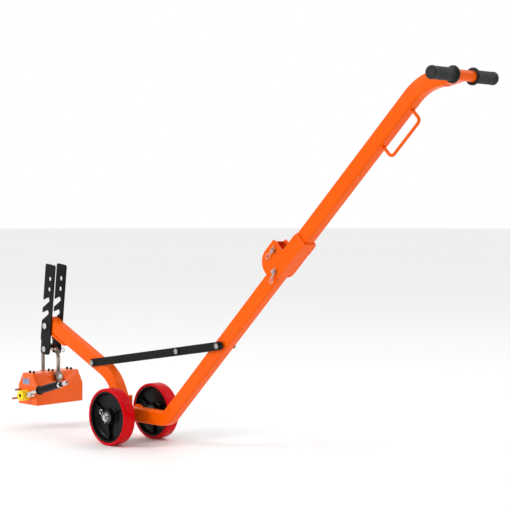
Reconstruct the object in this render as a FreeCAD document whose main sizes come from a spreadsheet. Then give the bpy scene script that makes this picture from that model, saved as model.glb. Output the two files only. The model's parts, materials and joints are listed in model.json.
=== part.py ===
"""Folding two-wheeled lifting dolly with a switchable permanent lifting magnet.

Millimetres.  +X runs from the magnet to the T-handle, -Y is the near side, +Z is up.
The origin lies on the ground under the middle of the whole object.  Most places are
given from the centre of the axle: spot(x, z) turns them into the part's frame.
"""
import FreeCAD, Part
import Sketcher
import math
import os
from FreeCAD import Placement, Rotation, Vector

SIZES = {
    # wheels and axle
    "axle_x": -456.4,
    "wheel_radius": 100.0,
    "wheel_width": 50.0,
    "wheel_inner": 77.0,
    "rim_radius": 90.0,
    "rim_wall": 8.0,
    "rim_width": 44.0,
    "web_thickness": 8.0,
    "rib_thickness": 5.0,
    "rib_width": 38.0,
    "wheel_hub_radius": 27.0,
    "wheel_hub_width": 48.0,
    "bearing_radius": 21.0,
    "bearing_width": 12.0,
    "bearing_bore": 10.05,
    "axle_radius": 10.0,
    "axle_half": 130.0,
    "axle_tip_radius": 8.0,
    "axle_tip": 137.0,
    "spacer_radius": 13.5,
    "spacer_start": 26.4,
    "spacer_stop": 76.6,
    "washer_radius": 16.0,
    "washer_start": 127.4,
    "washer_stop": 129.4,
    "frame_hub_radius": 25.0,
    # main tubes
    "tube_depth": 50.0,
    "tube_width": 40.0,
    "half_tube": 20.0,
    "tube_wall": 3.0,
    "tube_corner": 7.0,
    "slope": 44.63,
    "bend_x": 183.1,
    "lower_bend_radius": 60.0,
    "lower_start": 6.0,
    "lower_end": 806.0,
    "upper_start": 846.0,
    "upper_bend": 1573.0,
    "upper_bend_radius": 166.0,
    "upper_tail": 122.0,
    # handle
    "bar_x": 1432.0,
    "bar_z": 1107.0,
    "bar_radius": 16.0,
    "bar_bore": 13.0,
    "bar_half": 146.0,
    "bar_setback": 7.5,
    "bar_taper": 48.0,
    "bar_end_half": 15.0,
    "grip_radius": 19.0,
    "grip_start": 44.0,
    "grip_stop": 148.0,
    "grip_flange_radius": 25.5,
    "grip_flange_stop": 50.0,
    "carry_low": 1326.0,
    "carry_high": 1476.0,
    "carry_drop": 44.0,
    "carry_radius": 5.0,
    "carry_corner": 14.0,
    # folding hinge of the main tubes, in slope coordinates
    "hinge_along": 804.0,
    "hinge_up": 46.0,
    "lock_along": 758.0,
    "lock_up": -2.0,
    "lock_hole": 6.5,
    "pin_radius": 6.0,
    "running_bore": 6.05,
    "cheek_in": 24.0,
    "cheek_out": 30.0,
    "lug_out": 23.5,
    "lug_in": 17.0,
    "lug_start": 768.0,
    "lug_stop": 824.0,
    "lug_top": 72.0,
    "lug_web": 5.0,
    "pin_head_radius": 9.0,
    "pin_head_in": 30.4,
    "pin_head_out": 34.5,
    "pin_tip": 41.0,
    "lock_pin_tip": 42.0,
    # lifting arm, about the axle
    "arm_angle": 118.0,
    "arm_offset": 39.25,
    "arm_start": 46.0,
    "arm_corner_along": 164.7,
    "arm_turn": 37.3,
    "arm_bend_radius": 140.0,
    "arm_depth": 48.0,
    "arm_width": 42.0,
    "arm_reach": 396.3,
    "bush_drop": 9.5,
    "nose_radius": 27.0,
    "nose_back": 18.0,
    "sleeve_length": 115.0,
    "sleeve_depth": 24.0,
    "bush_radius": 13.0,
    "bush_bore": 8.05,
    "bush_half": 22.5,
    "yoke_in": 21.0,
    "yoke_out": 26.0,
    "yoke_ring": 30.0,
    "yoke_web": 50.0,
    "yoke_skin": 54.5,
    "yoke_edge": 38.5,
    "yoke_sill": 22.0,
    "bumper_length": 42.0,
    "bumper_width": 38.0,
    "bumper_height": 8.0,
    "bumper_along": 18.7,
    "bumper_screw_radius": 5.0,
    "bumper_screw_height": 2.5,
    # folding brace
    "brace_arm_x": -202.0,
    "brace_arm_z": 166.9,
    "brace_anchor_along": 393.0,
    "brace_short": 202.5,
    "brace_tail": 9.0,
    "brace_half_width": 14.0,
    "brace_bar": 5.0,
    "long_in": 21.5,
    "short_in": 27.0,
    "brace_pin_radius": 6.0,
    "brace_spacer_radius": 10.0,
    "anchor_spacer_radius": 12.0,
    "anchor_spacer_stop": 26.7,
    "anchor_head_in": 32.3,
    "anchor_head_out": 38.0,
    "arm_bolt_head_in": 26.8,
    "arm_bolt_head_out": 31.0,
    "mid_head_in": 32.0,
    "mid_head_out": 37.5,
    "bolt_flats": 18.0,
    # hook plates
    "hook_tilt": 6.9,
    "hook_in": 23.0,
    "hook_bar": 6.0,
    "plate_skin": 29.0,
    "hook_half_width": 28.0,
    "hook_step": 5.0,
    "hook_top": 234.0,
    "hook_bottom": -108.0,
    "hook_hole_radius": 9.0,
    "hook_hole_low": 140.0,
    "hook_hole_high": 180.0,
    "hook_slot_width": 16.5,
    "hook_slot_low": 51.5,
    "hook_slot_high": 100.0,
    "hook_slot_lip": 4.0,
    "hook_slot_drop": 34.0,
    "pivot_radius": 8.0,
    "pivot_head_radius": 11.5,
    "pivot_head_out": 37.0,
    "pivot_nut_flats": 24.0,
    "pivot_nut_out": 42.0,
    "hanger_drop": 89.0,
    "hanger_radius": 7.0,
    "hanger_head_radius": 11.0,
    "hanger_head_out": 33.0,
    "hanger_washer_radius": 12.0,
    "hanger_washer_out": 31.5,
    "hanger_tip": 50.0,
    # shackle
    "shackle_rod": 7.0,
    "shackle_half": 47.5,
    "shackle_bow": 67.4,
    "leg_foot": 10.0,
    "eye_radius": 16.5,
    "eye_width": 14.8,
    "eye_bore": 6.05,
    # lifting magnet
    "magnet_z": -6.5,
    "magnet_half": 58.0,
    "magnet_height": 117.2,
    "magnet_shoulder": 70.9,
    "magnet_crown": 29.5,
    "magnet_block": 99.0,
    "magnet_end": 107.0,
    "cover_thickness": 8.0,
    "magnet_eye_height": 101.5,
    "pole_height": 14.0,
    "pole_gap": 18.0,
    "recess_inner": 39.6,
    "recess_half": 30.0,
    "recess_floor": 83.5,
    "eye_bolt_radius": 6.0,
    "eye_bolt_in": 31.0,
    "eye_bolt_neck": 55.2,
    "eye_bolt_out": 57.9,
    "eye_bolt_head": 8.5,
    "rotor_height": 36.5,
    "rotor_bore": 21.4,
    "rotor_radius": 21.0,
    "rotor_half": 98.5,
    "shaft_radius": 8.0,
    "shaft_bore": 8.4,
    "top_screw_radius": 5.0,
    "top_screw_height": 7.5,
    "top_screw_row": 87.0,
    "top_screw_side": 12.0,
    "label_length": 41.0,
    "label_height": 21.0,
    "label_thickness": 1.0,
    "label_x": -29.3,
    "label_z": 75.5,
    "label_screw_radius": 2.5,
    "label_screw_rise": 28.0,
    "label_screw_out": 108.5,
    # magnet lever
    "lever_hub_radius": 20.0,
    "lever_hub_in": 107.5,
    "lever_hub_out": 142.0,
    "lever_hub_hole": 5.5,
    "lever_y": 125.0,
    "lever_angle": 15.5,
    "lever_rod_radius": 6.5,
    "lever_rod_start": 12.0,
    "lever_rod_end": 100.0,
    "lever_grip_radius": 14.0,
    "lever_grip_end": 223.0,
    "lever_flange_radius": 17.0,
    "lever_flange_end": 107.0,
    "lever_ring_radius": 11.5,
    "lever_ring_end": 229.0,
    "lever_knob_radius": 7.5,
    "lever_knob_end": 272.0,
    "end_pin_radius": 4.0,
    "rest_pin_out": 140.0,
    "upper_limit_out": 133.0,
    "lower_limit_out": 139.0,
    # wire clips
    "wire_radius": 1.5,
    "clip_loop": 6.5,
}

doc = FreeCAD.newDocument("LiftingDolly")
sheet = doc.addObject("Spreadsheet::Sheet", "Sizes")
for row, (alias, number) in enumerate(SIZES.items(), 1):
    sheet.set(f"A{row}", alias)
    sheet.set(f"B{row}", str(number))
    sheet.setAlias(f"B{row}", alias)
doc.recompute()

SUB_PARTS = []


def size(name):
    """The sheet's number for an alias, which may carry a minus sign."""
    if name.startswith("-"):
        return -float(sheet.get(name[1:]))
    return float(sheet.get(name))


def term(name):
    """The same alias, written for an expression."""
    if name.startswith("-"):
        return f"-Sizes.{name[1:]}"
    return f"Sizes.{name}"


# ---------------------------------------------------------------- places

def spot(x, z, y=0.0):
    """A point given from the axle's centre."""
    return Vector(size("axle_x") + x, y, size("wheel_radius") + z)


def turned(angle):
    """A turn about the Y axis, counter-clockwise for someone on the near side."""
    return Rotation(Vector(0, -1, 0), angle)


def heading(angle):
    radians = math.radians(angle)
    return Vector(math.cos(radians), 0, math.sin(radians))


def slope_frame():
    """Frame of the sloping tubes: local X runs up the tube and local Z out of its top face."""
    return Placement(spot(size("bend_x"), 0), turned(size("slope")))


def on_slope(along, up, y=0.0):
    return slope_frame().multVec(Vector(along, y, up))


def arm_frame():
    """Frame of the arm's lower straight: local X runs up it, local Z away from the handle."""
    return Placement(spot(0, 0), turned(size("arm_angle")))


def bush_centre():
    """Centre of the bush at the arm's free end."""
    corner = Vector(size("arm_corner_along"), 0, size("arm_offset"))
    along = heading(size("arm_turn"))
    across = heading(size("arm_turn") + 90)
    local = corner + along * size("arm_reach") + across * size("bush_drop")
    return arm_frame().multVec(local)


def hook_frame():
    """Frame of the hook plates: local Z runs up the plates from the arm's bush."""
    return Placement(bush_centre(), turned(-size("hook_tilt")))


def hanger_centre():
    return hook_frame().multVec(Vector(0, 0, -size("hanger_drop")))


def magnet_frame():
    """Frame of the magnet: under the hanger pin, on the magnet's pole face."""
    return Placement(Vector(hanger_centre().x, 0, size("wheel_radius") + size("magnet_z")), Rotation())


def lever_centre():
    return magnet_frame().multVec(Vector(0, 0, size("rotor_height")))


def brace_points():
    """Arm pivot, folding pivot and anchor of the brace."""
    arm_pivot = spot(size("brace_arm_x"), size("brace_arm_z"))
    anchor = on_slope(size("brace_anchor_along"), 0)
    towards_arm = (arm_pivot - anchor).normalize()
    return arm_pivot, anchor + towards_arm * size("brace_short"), anchor


# ---------------------------------------------------------------- solids

def cylinder(name, base, direction, radius, length):
    """A round bar; radius is an alias and length an expression."""
    bar = doc.addObject("Part::Cylinder", name)
    bar.setExpression("Radius", term(radius))
    bar.setExpression("Height", length)
    bar.Placement = Placement(base, Rotation(Vector(0, 0, 1), direction))
    return bar


def across(name, centre, radius, start, stop):
    """A round bar along Y between two aliases."""
    base = Vector(centre.x, size(start), centre.z)
    return cylinder(name, base, Vector(0, 1, 0), radius, f"{term(stop)} - ({term(start)})")


def radial(name, centre, angle, y, radius, start, stop):
    """A round bar in the XZ plane, between two distances from centre."""
    way = heading(angle)
    base = centre + way * size(start) + Vector(0, y, 0)
    return cylinder(name, base, way, radius, f"{term(stop)} - ({term(start)})")


def hexagon(name, centre, flats, start, stop):
    """A hexagonal head or nut along Y."""
    prism = doc.addObject("Part::Prism", name)
    prism.Polygon = 6
    prism.setExpression("Circumradius", f"{term(flats)} / sqrt(3)")
    prism.setExpression("Height", f"{term(stop)} - ({term(start)})")
    base = Vector(centre.x, size(start), centre.z)
    prism.Placement = Placement(base, Rotation(Vector(0, 0, 1), Vector(0, 1, 0)))
    return prism


def block(name, place, length, width, height):
    """A box whose sizes are expressions and whose near bottom corner is at place."""
    box = doc.addObject("Part::Box", name)
    box.setExpression("Length", length)
    box.setExpression("Width", width)
    box.setExpression("Height", height)
    box.Placement = place
    return box


def fused(name, pieces):
    union = doc.addObject("Part::MultiFuse", name)
    union.Shapes = pieces
    return union


def cut(name, base, tool):
    result = doc.addObject("Part::Cut", name)
    result.Base = base
    result.Tool = tool
    return result


def grouped(name, pieces):
    """Several loose solids of one kind in one node."""
    group = doc.addObject("Part::Compound", name)
    group.Links = pieces
    return group


def ring(name, centre, radius, bore, start, stop):
    """A bush, washer or spacer along Y."""
    outer = across(f"{name}_outer", centre, radius, start, stop)
    inner = across(f"{name}_bore", centre, bore, start, stop)
    return cut(name, outer, inner)


def sub_part(piece):
    """Marks an object as a piece of its own, whose Label names its file."""
    SUB_PARTS.append(piece)
    return piece


# ---------------------------------------------------------------- sketches and bodies

def body_at(name, place):
    body = doc.addObject("PartDesign::Body", name)
    body.Placement = place
    return body


def origin_feature(body, role):
    return next(item for item in body.Origin.OriginFeatures if item.Role == role)


def sketch_on(body, name, plane):
    sketch = body.newObject("Sketcher::SketchObject", name)
    sketch.AttachmentSupport = [(origin_feature(body, plane), "")]
    sketch.MapMode = "FlatFace"
    return sketch


def corner_arc(before, corner, after, radius):
    """Start, middle and end of the arc that rounds a corner."""
    back = (before - corner).normalize()
    ahead = (after - corner).normalize()
    half = back.getAngle(ahead) / 2
    reach = radius / math.tan(half)
    inward = (back + ahead).normalize()
    centre = corner + inward * (radius / math.sin(half))
    return corner + back * reach, centre - inward * radius, corner + ahead * reach


def draw_outline(sketch, corners):
    """A closed outline; each corner is (x, y) or (x, y, rounding radius)."""
    points = [Vector(corner[0], corner[1], 0) for corner in corners]
    pieces = []
    for index, corner in enumerate(corners):
        point = points[index]
        if len(corner) == 3:
            arc = corner_arc(points[index - 1], point, points[(index + 1) % len(points)], corner[2])
            pieces.append(arc)
        else:
            pieces.append((point,))
    for index, piece in enumerate(pieces):
        if len(piece) == 3:
            sketch.addGeometry(Part.Arc(*piece), False)
        start = piece[-1]
        end = pieces[(index + 1) % len(pieces)][0]
        if start.distanceToPoint(end) > 0.001:
            sketch.addGeometry(Part.LineSegment(start, end), False)


def draw_circle(sketch, x, y, radius):
    """A hole whose radius is bound to the sheet."""
    circle = sketch.addGeometry(Part.Circle(Vector(x, y, 0), Vector(0, 0, 1), size(radius)), False)
    dimension = sketch.addConstraint(Sketcher.Constraint("Radius", circle, size(radius)))
    sketch.setExpression(f"Constraints[{dimension}]", term(radius))


def padded(body, sketch, length, side="Symmetric", reverse=False):
    pad = body.newObject("PartDesign::Pad", f"{sketch.Name}_pad")
    pad.Profile = sketch
    pad.SideType = side
    pad.Reversed = reverse
    pad.setExpression("Length", length)
    return pad


def pocketed(body, sketch, length):
    pocket = body.newObject("PartDesign::Pocket", f"{sketch.Name}_pocket")
    pocket.Profile = sketch
    pocket.SideType = "Symmetric"
    pocket.setExpression("Length", length)
    return pocket


def plate(label, place, side, inner, thickness, corners, holes):
    """A flat plate upright in XZ; side is -1 for the near plate and 1 for the far one."""
    here = Placement(place)
    here.Base = place.Base + Vector(0, side * size(inner), 0)
    body = body_at(label, here)
    sketch = sketch_on(body, f"{label}_outline", "XZ_Plane")
    draw_outline(sketch, corners)
    for x, z, radius in holes:
        draw_circle(sketch, x, z, radius)
    padded(body, sketch, term(thickness), "One side", side > 0)
    return sub_part(body)


def draw_route(sketch, runs, turns, radii):
    """Straight runs joined by tangent arcs, from the sketch's origin along its X."""
    corners = [Vector(0, 0, 0)]
    angle = 0.0
    for run, turn in zip(runs, turns + [0.0]):
        step = Vector(math.cos(math.radians(angle)), math.sin(math.radians(angle)), 0)
        corners.append(corners[-1] + step * run)
        angle += turn
    here = corners[0]
    for index, radius in enumerate(radii, 1):
        start, middle, end = corner_arc(corners[index - 1], corners[index], corners[index + 1], radius)
        if here.distanceToPoint(start) > 0.01:
            sketch.addGeometry(Part.LineSegment(here, start), False)
        sketch.addGeometry(Part.Arc(start, middle, end), False)
        here = end
    if here.distanceToPoint(corners[-1]) > 0.01:
        sketch.addGeometry(Part.LineSegment(here, corners[-1]), False)


def piped(body, profile, route):
    pipe = body.newObject("PartDesign::AdditivePipe", f"{body.Name}_pipe")
    pipe.Profile = profile
    pipe.Spine = (route, [""])
    return pipe


def bent_tube(label, place, depth, width, runs, turns, radii):
    """A hollow rectangular tube that starts at place and bends in the XZ plane."""
    body = body_at(label, place)
    route = sketch_on(body, f"{label}_route", "XZ_Plane")
    draw_route(route, runs, turns, radii)
    profile = sketch_on(body, f"{label}_profile", "YZ_Plane")
    for inset in (0.0, size("tube_wall")):
        half_width = size(width) / 2 - inset
        half_depth = size(depth) / 2 - inset
        corner = size("tube_corner") - inset
        draw_outline(profile, [(-half_width, -half_depth, corner), (half_width, -half_depth, corner),
                               (half_width, half_depth, corner), (-half_width, half_depth, corner)])
    piped(body, profile, route)
    return sub_part(body)


def bent_rod(label, place, radius, runs, turns, radii):
    """A round rod that starts at place and bends in the XZ plane."""
    body = body_at(label, place)
    route = sketch_on(body, f"{label}_route", "XZ_Plane")
    draw_route(route, runs, turns, radii)
    profile = sketch_on(body, f"{label}_profile", "YZ_Plane")
    draw_circle(profile, 0, 0, radius)
    piped(body, profile, route)
    return body


def drilled(body, name, point, radius, length="4 * Sizes.tube_width"):
    """A hole along Y right through a body, at a point of the part's frame."""
    local = body.Placement.inverse().multVec(point)
    sketch = sketch_on(body, name, "XZ_Plane")
    draw_circle(sketch, local.x, local.z, radius)
    pocketed(body, sketch, length)


def wire_clip(name, centre, angle, y, tail, leg):
    """A wire clip: a leg through its pin and a round loop at the leg's end."""
    way = heading(angle)
    middle = centre + Vector(0, y, 0)
    straight = cylinder(f"{name}_leg", middle - way * tail, way, "wire_radius", f"{tail + leg}")
    loop = doc.addObject("Part::Torus", f"{name}_loop")
    loop.setExpression("Radius1", term("clip_loop"))
    loop.setExpression("Radius2", term("wire_radius"))
    loop_centre = middle + way * (leg + size("clip_loop"))
    loop.Placement = Placement(loop_centre, Rotation(Vector(0, 0, 1), Vector(0, 1, 0)))
    return fused(name, [straight, loop])


# ---------------------------------------------------------------- wheels and axle

def wheel(name, side):
    """One wheel: polyurethane tread, ribbed plastic core and two ball bearings."""
    middle = side * (size("wheel_inner") + size("wheel_width") / 2)
    place = Placement(spot(0, 0, middle), Rotation())
    tread = body_at(f"{name}_tread", place)
    profile = sketch_on(tread, f"{name}_tread_profile", "XY_Plane")
    half = size("wheel_width") / 2
    edge_round = size("wheel_width") / 7
    draw_outline(profile, [(size("rim_radius"), -half), (size("wheel_radius"), -half, edge_round),
                           (size("wheel_radius"), half, edge_round), (size("rim_radius"), half)])
    revolved(tread, profile)
    sub_part(tread)

    core = body_at(f"{name}_core", place)
    profile = sketch_on(core, f"{name}_core_profile", "XY_Plane")
    hub, hub_half = size("wheel_hub_radius"), size("wheel_hub_width") / 2
    seat, seat_end = size("bearing_radius"), hub_half - size("bearing_width")
    web, rim_half = size("web_thickness") / 2, size("rim_width") / 2
    rim_in, rim_out = size("rim_radius") - size("rim_wall"), size("rim_radius")
    bore = (size("axle_radius") + seat) / 2
    lower_half = [(bore, -seat_end), (seat, -seat_end), (seat, -hub_half), (hub, -hub_half),
                  (hub, -web, 2.0), (rim_in, -web, 2.0), (rim_in, -rim_half), (rim_out, -rim_half)]
    upper_half = [(corner[0], -corner[1]) + corner[2:] for corner in reversed(lower_half)]
    draw_outline(profile, lower_half + upper_half)
    revolved(core, profile)
    rib_sketch = sketch_on(core, f"{name}_rib", "XZ_Plane")
    rib = size("rib_thickness") / 2
    draw_outline(rib_sketch, [(-rib, -rim_in - 1), (rib, -rim_in - 1), (rib, -hub + 1), (-rib, -hub + 1)])
    rib_pad = padded(core, rib_sketch, term("rib_width"))
    ribs = core.newObject("PartDesign::PolarPattern", f"{name}_ribs")
    ribs.Originals = [rib_pad]
    ribs.Axis = (origin_feature(core, "Y_Axis"), [""])
    ribs.Angle = 360
    ribs.Occurrences = 3
    core.Tip = ribs
    sub_part(core)

    bearings = []
    for end in (-1, 1):
        outer_face = middle + end * hub_half
        start = min(outer_face, outer_face - end * size("bearing_width"))
        base = spot(0, 0, start)
        width = term("bearing_width")
        race = cylinder(f"{name}_race_{end + 1}", base, Vector(0, 1, 0), "bearing_radius", width)
        bore = cylinder(f"{name}_bore_{end + 1}", base, Vector(0, 1, 0), "bearing_bore", width)
        bearings.append(cut(f"{name}_bearing_{end + 1}", race, bore))
    sub_part(grouped(f"{name}_bearings", bearings))


def revolved(body, profile):
    """Turns a profile (radius, width) about the body's Y axis."""
    turn = body.newObject("PartDesign::Revolution", f"{profile.Name}_turn")
    turn.Profile = profile
    turn.ReferenceAxis = (profile, ["V_Axis"])
    turn.Angle = 360
    return turn


def axle_set():
    """The fixed axle with its hub, spacer tubes, washers and wire clips."""
    centre = spot(0, 0)
    sub_part(ring("axle_hub", centre, "frame_hub_radius", "axle_radius", "-half_tube", "half_tube"))
    shaft = across("axle_shaft", centre, "axle_radius", "-axle_half", "axle_half")
    tips = across("axle_tips", centre, "axle_tip_radius", "-axle_tip", "axle_tip")
    clips = []
    holes = []
    clip_y = (size("axle_half") + size("axle_tip")) / 2
    for side in (-1, 1):
        clips.append(wire_clip(f"axle_clip_{side + 1}", centre, 135, side * clip_y, 14.0, 20.0))
        base = centre + Vector(0, side * clip_y, 0) - heading(135) * 20
        holes.append(cylinder(f"axle_clip_hole_{side + 1}", base, heading(135), "wire_radius", "40"))
    sub_part(cut("axle", fused("axle_solid", [shaft, tips]), fused("axle_clip_holes", holes)))
    sub_part(grouped("axle_clips", clips))
    spacers = [ring("spacer_near", centre, "spacer_radius", "axle_radius", "-spacer_stop", "-spacer_start"),
               ring("spacer_far", centre, "spacer_radius", "axle_radius", "spacer_start", "spacer_stop")]
    sub_part(grouped("axle_spacers", spacers))
    washers = [ring("washer_near", centre, "washer_radius", "axle_radius", "-washer_stop", "-washer_start"),
               ring("washer_far", centre, "washer_radius", "axle_radius", "washer_start", "washer_stop")]
    sub_part(grouped("axle_washers", washers))


# ---------------------------------------------------------------- frame and handle

def lower_tube():
    run = size("bend_x") - size("lower_start")
    place = Placement(spot(size("lower_start"), 0), Rotation())
    tube = bent_tube("lower_tube", place, "tube_depth", "tube_width",
                     [run, size("lower_end")], [size("slope")], [size("lower_bend_radius")])
    drilled(tube, "lower_tube_hub_seat", spot(0, 0), "frame_hub_radius")
    drilled(tube, "lower_tube_anchor_hole", on_slope(size("brace_anchor_along"), 0), "brace_pin_radius")
    drilled(tube, "lower_tube_lock_hole", on_slope(size("lock_along"), size("lock_up")), "lock_hole")


def upper_tube():
    straight = size("upper_bend") - size("upper_start")
    place = Placement(on_slope(size("upper_start"), 0), turned(size("slope")))
    tube = bent_tube("upper_tube", place, "tube_depth", "tube_width",
                     [straight, size("upper_tail")], [-size("slope")], [size("upper_bend_radius")])
    closed_bar_end(tube)
    drilled(tube, "upper_tube_bar_seat", spot(size("bar_x"), size("bar_z")), "bar_radius")


def closed_bar_end(tube):
    """Fills the tube's mouth and narrows it above and below to the T-bar's own height."""
    end = size("bar_x") - size("bar_setback")
    start = end - size("bar_taper")
    half = size("tube_depth") / 2
    fill = half - size("tube_wall") / 2
    past = 5

    def local(x, z):
        point = tube.Placement.inverse().multVec(spot(x, size("bar_z") + z))
        return point.x, point.z
    block_sides = sketch_on(tube, "upper_tube_end_block", "XZ_Plane")
    draw_outline(block_sides, [local(start, -fill), local(end, -fill), local(end, fill), local(start, fill)])
    padded(tube, block_sides, "Sizes.tube_width - Sizes.tube_wall")
    tapers = sketch_on(tube, "upper_tube_end_tapers", "XZ_Plane")
    for sign in (-1, 1):
        draw_outline(tapers, [local(start, sign * half), local(end, sign * size("bar_end_half")),
                              local(end + past, sign * size("bar_end_half")),
                              local(end + past, sign * (half + past)), local(start, sign * (half + past))])
    pocketed(tube, tapers, "2 * Sizes.tube_width")


def handle():
    """T-bar, its two grips and the carry handle under the upper tube."""
    centre = spot(size("bar_x"), size("bar_z"))
    sub_part(ring("t_bar", centre, "bar_radius", "bar_bore", "-bar_half", "bar_half"))
    for name, side in (("near", -1), ("far", 1)):
        def band(piece, radius, start, stop):
            ends = sorted((side * size(start), side * size(stop)))
            base = Vector(centre.x, ends[0], centre.z)
            length = f"{term(stop)} - ({term(start)})"
            return cylinder(f"grip_{name}_{piece}", base, Vector(0, 1, 0), radius, length)
        sleeve = band("sleeve", "grip_radius", "grip_start", "grip_stop")
        flange = band("flange", "grip_flange_radius", "grip_start", "grip_flange_stop")
        bore = band("bore", "bar_radius", "grip_start", "bar_half")
        sub_part(cut(f"grip_{name}", fused(f"grip_{name}_solid", [sleeve, flange]), bore))
    drop = size("carry_drop")
    base = on_slope(size("carry_low"), -size("tube_depth") / 2)
    span = size("carry_high") - size("carry_low")
    corner = size("carry_corner")
    sub_part(bent_rod("carry_handle", Placement(base, turned(size("slope") - 90)), "carry_radius",
                      [drop, span, drop], [90, 90], [corner, corner]))


def folding_hinge():
    """The bracket on the upper tube, the lug on the lower tube and their two pins."""
    top = size("hinge_up") + 28
    floor = -size("tube_depth") / 2
    skirt = floor - 5
    flat = size("lug_stop") + 2
    nose = size("lock_along") - 33
    shoulder = size("tube_depth") / 2 - 3
    tail = size("upper_start") + 65
    bracket = body_at("hinge_bracket", slope_frame())
    cheeks = sketch_on(bracket, "bracket_cheeks", "XZ_Plane")
    draw_outline(cheeks, [(nose, top, 50), (nose, skirt + 1, 50), (flat + 30, skirt + 1, 3),
                          (flat + 36, skirt, 3), (tail, skirt, 3), (tail, shoulder, 4),
                          (flat, shoulder, 8), (flat, top, 3)])
    padded(bracket, cheeks, "2 * Sizes.cheek_out")
    inside = sketch_on(bracket, "bracket_inside", "XZ_Plane")
    seat = size("upper_start") + 3
    before, web_start, web_top = nose - 10, nose + 42, floor - 0.6
    draw_outline(inside, [(before, skirt - 10), (web_start, skirt - 10), (web_start, web_top),
                          (seat, web_top), (seat, top + 10), (before, top + 10)])
    pocketed(bracket, inside, "2 * Sizes.cheek_in")
    socket = sketch_on(bracket, "bracket_socket", "XZ_Plane")
    draw_outline(socket, [(seat - 5, floor), (tail + 10, floor), (tail + 10, top), (seat - 5, top)])
    pocketed(bracket, socket, "Sizes.tube_width")
    joggle = sketch_on(bracket, "bracket_joggle", "XY_Plane")
    for side in (-1, 1):
        edge = side * size("cheek_out")
        draw_outline(joggle, [(tail - 13, edge), (tail + 1, edge * 1.1), (tail + 1, edge - side * 6)])
    pocketed(bracket, joggle, "10 * Sizes.tube_depth")
    hinge = on_slope(size("hinge_along"), size("hinge_up"))
    lock = on_slope(size("lock_along"), size("lock_up"))
    drilled(bracket, "bracket_hinge_hole", hinge, "running_bore")
    drilled(bracket, "bracket_lock_hole", lock, "pin_radius")
    sub_part(bracket)

    lug = body_at("hinge_lug", slope_frame())
    sides = sketch_on(lug, "lug_sides", "XZ_Plane")
    base = size("tube_depth") / 2
    start, stop, crown = size("lug_start"), size("lug_stop"), size("lug_top")
    draw_outline(sides, [(start, base), (stop, base), (stop, crown, 8), (start, crown, 8)])
    padded(lug, sides, "2 * Sizes.lug_out")
    hollow = sketch_on(lug, "lug_hollow", "XZ_Plane")
    under = crown - size("lug_web")
    draw_outline(hollow, [(start - 5, base - 5), (stop + 5, base - 5), (stop + 5, under), (start - 5, under)])
    pocketed(lug, hollow, "2 * Sizes.lug_in")
    drilled(lug, "lug_hole", hinge, "pin_radius")
    sub_part(lug)

    shank = across("hinge_pin_shank", hinge, "pin_radius", "-pin_tip", "pin_head_in")
    head = across("hinge_pin_head", hinge, "pin_head_radius", "pin_head_in", "pin_head_out")
    clip_y = -(size("pin_head_in") + size("pin_tip")) / 2
    along = size("slope") + 175
    base = hinge + Vector(0, clip_y, 0) - heading(along) * 20
    clip_hole = cylinder("hinge_pin_clip_hole", base, heading(along), "wire_radius", "40")
    sub_part(cut("hinge_pin", fused("hinge_pin_solid", [shank, head]), clip_hole))
    sub_part(wire_clip("hinge_pin_clip", hinge, along, clip_y, 10.0, 28.0))

    near_end = across("lock_pin_near", lock, "pin_radius", "-lock_pin_tip", "-cheek_in")
    far_end = across("lock_pin_far", lock, "pin_radius", "cheek_in", "pin_head_in")
    far_head = across("lock_pin_head", lock, "pin_head_radius", "pin_head_in", "pin_head_out")
    along = size("slope") + 210
    clip_y -= 1
    base = lock + Vector(0, clip_y, 0) - heading(along) * 20
    clip_hole = cylinder("lock_pin_clip_hole", base, heading(along), "wire_radius", "40")
    near_cut = cut("lock_pin_drilled", near_end, clip_hole)
    sub_part(grouped("lock_pin", [near_cut, fused("lock_pin_far_end", [far_end, far_head])]))
    sub_part(wire_clip("lock_pin_clip", lock, along, clip_y, 12.0, 28.0))


# ---------------------------------------------------------------- lifting arm

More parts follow.
